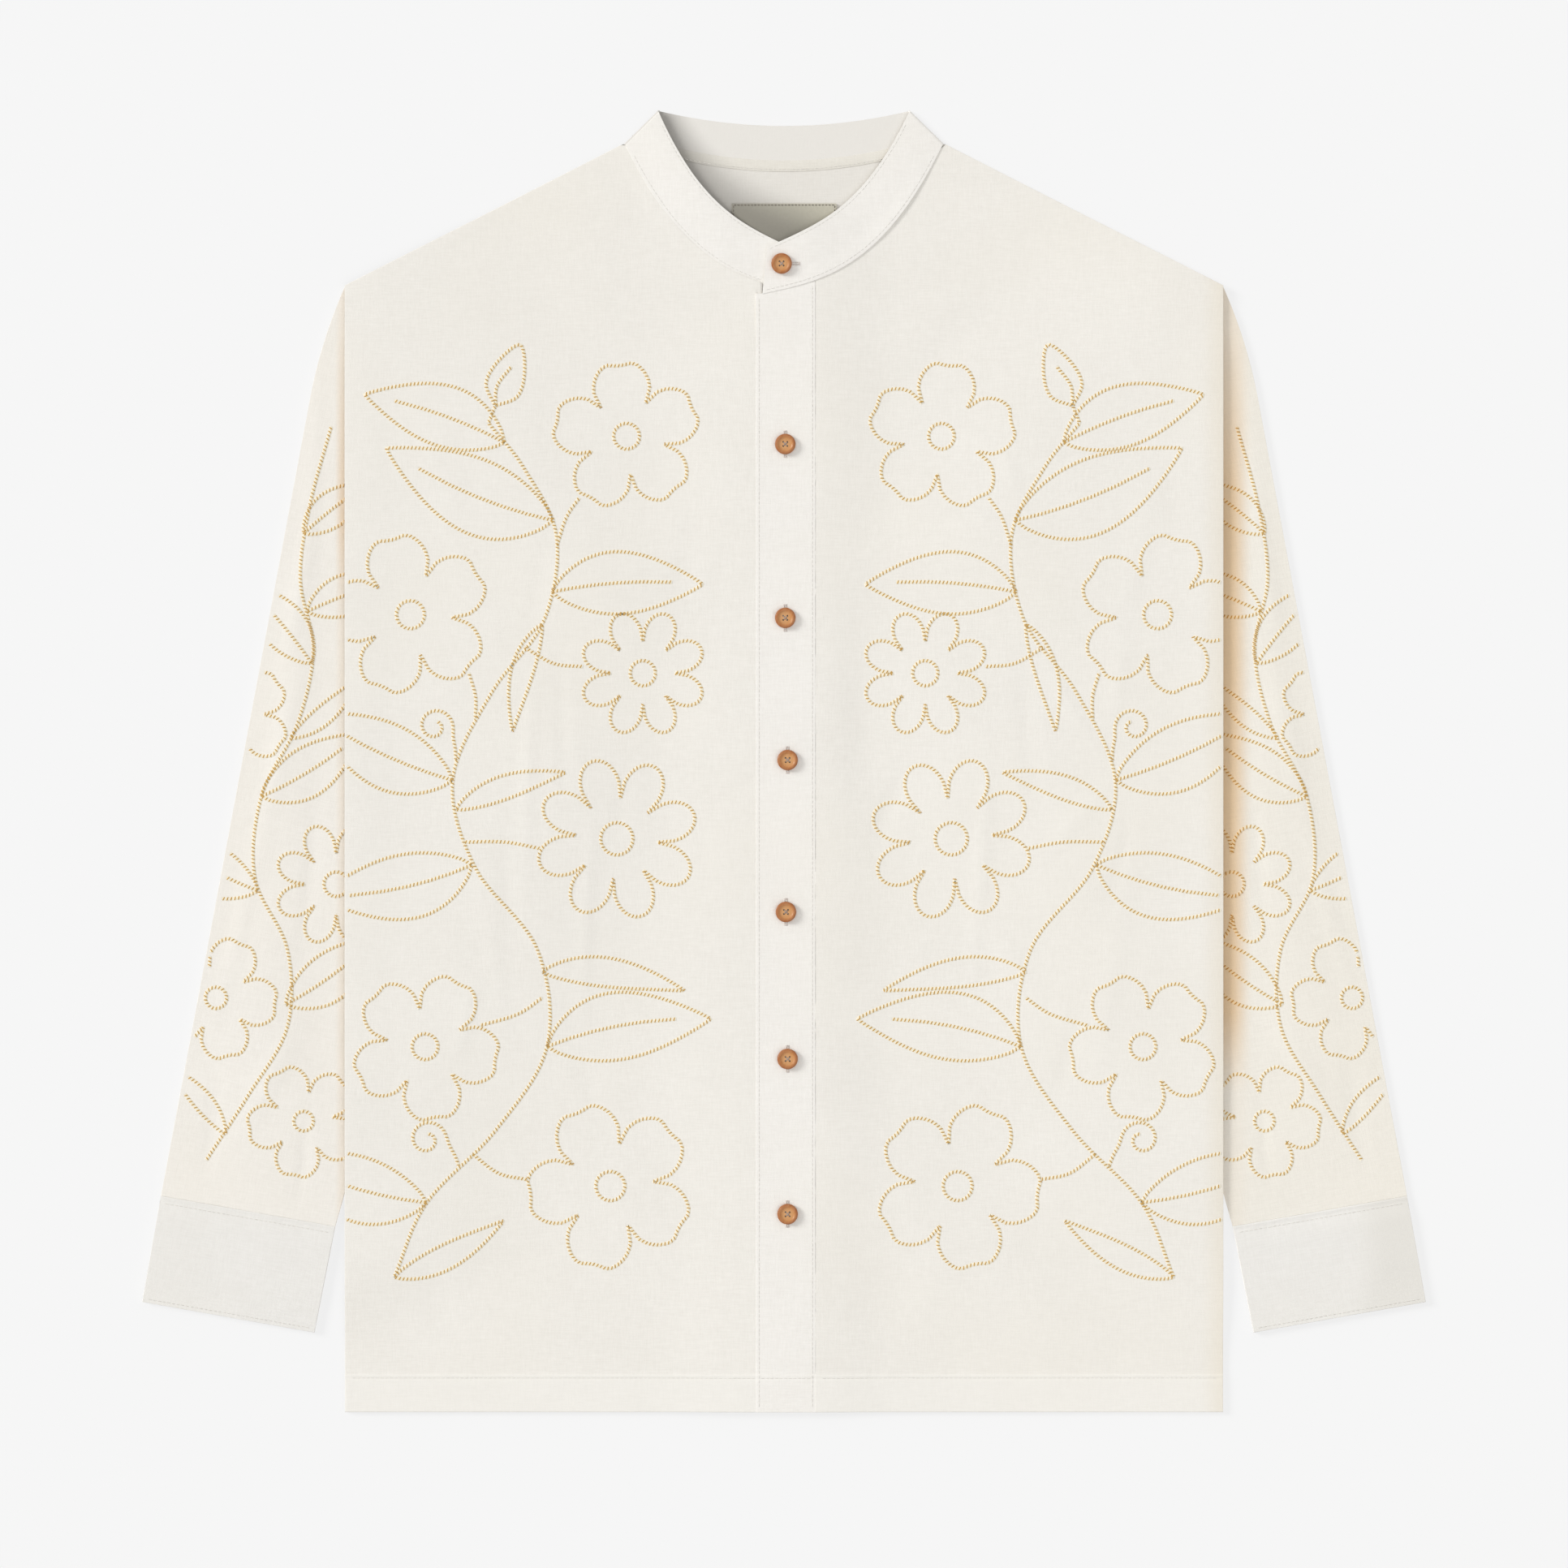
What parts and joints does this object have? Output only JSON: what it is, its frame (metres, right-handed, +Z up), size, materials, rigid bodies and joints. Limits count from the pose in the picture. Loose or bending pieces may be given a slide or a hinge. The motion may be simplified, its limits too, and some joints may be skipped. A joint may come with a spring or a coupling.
{
  "type": "linen shirt",
  "caption": "Long-sleeved linen shirt laid flat, with a band collar, buttoned placket, cuffs and a straight hem.",
  "frame": {"origin": "middle of the laid shirt's box in plan, on the floor", "axes": "+Z up, away from the floor; +Y from the hem to the collar; +X to the wearer's left"},
  "size_m": [0.7912, 0.8026, 0.0081],
  "materials": {
    "linen": "plain-woven off-white linen, matt, with faint slubs",
    "sleeve_linen": "the same linen, a little warmer",
    "cuff_linen": "the same linen doubled, a little cooler",
    "band_linen": "the same linen doubled and pressed",
    "embroidery_thread": "tan-gold twisted thread with a soft sheen",
    "sewing_thread": "off-white sewing thread, matt",
    "woven_label": "bare woven tape, satin",
    "horn": "mottled caramel horn look, satin polish"
  },
  "bodies": {
    "root": {"back": "linen", "front_left": "linen", "front_right": "linen", "sleeve_left": "sleeve_linen", "sleeve_right": "sleeve_linen", "cuff_left": "cuff_linen", "cuff_right": "cuff_linen", "collar_band": "band_linen", "placket": "band_linen", "under_placket": "band_linen", "label": "woven_label", "button_1": "horn", "button_2": "horn", "button_3": "horn", "button_4": "horn", "button_5": "horn", "button_6": "horn", "button_7": "horn"}
  },
  "joints": []
}
